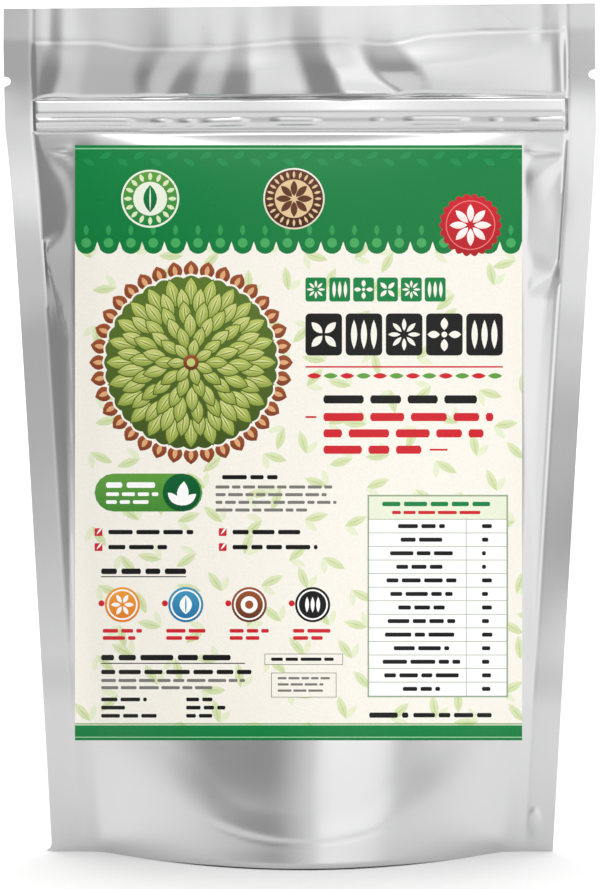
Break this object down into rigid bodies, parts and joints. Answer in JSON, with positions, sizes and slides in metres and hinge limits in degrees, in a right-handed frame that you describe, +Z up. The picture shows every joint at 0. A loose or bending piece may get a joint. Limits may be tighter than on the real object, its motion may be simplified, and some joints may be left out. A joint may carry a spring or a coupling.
{
  "type": "foil stand-up zip pouch",
  "caption": "Filled silver foil stand-up pouch with a sealed top, tear notches, press-to-close zip, bottom gusset and printed front label, holding whole green cardamom pods.",
  "frame": {"origin": "on the table under the middle of the pouch", "axes": "+X across the pouch to the right of someone looking at its front, the front faces -Y, +Z up"},
  "size_m": [0.18, 0.0786, 0.26],
  "materials": {
    "foil": "satin",
    "gusset_foil": "satin",
    "clear_plastic": "gloss",
    "label": "satin",
    "pods": "matte"
  },
  "bodies": {
    "root": {"front_panel": "foil", "back_panel": "foil", "bottom_gusset": "gusset_foil", "zip_rib_strip": "clear_plastic", "zip_groove_strip": "clear_plastic", "front_label": "label", "pod_filling": "pods"}
  },
  "joints": []
}
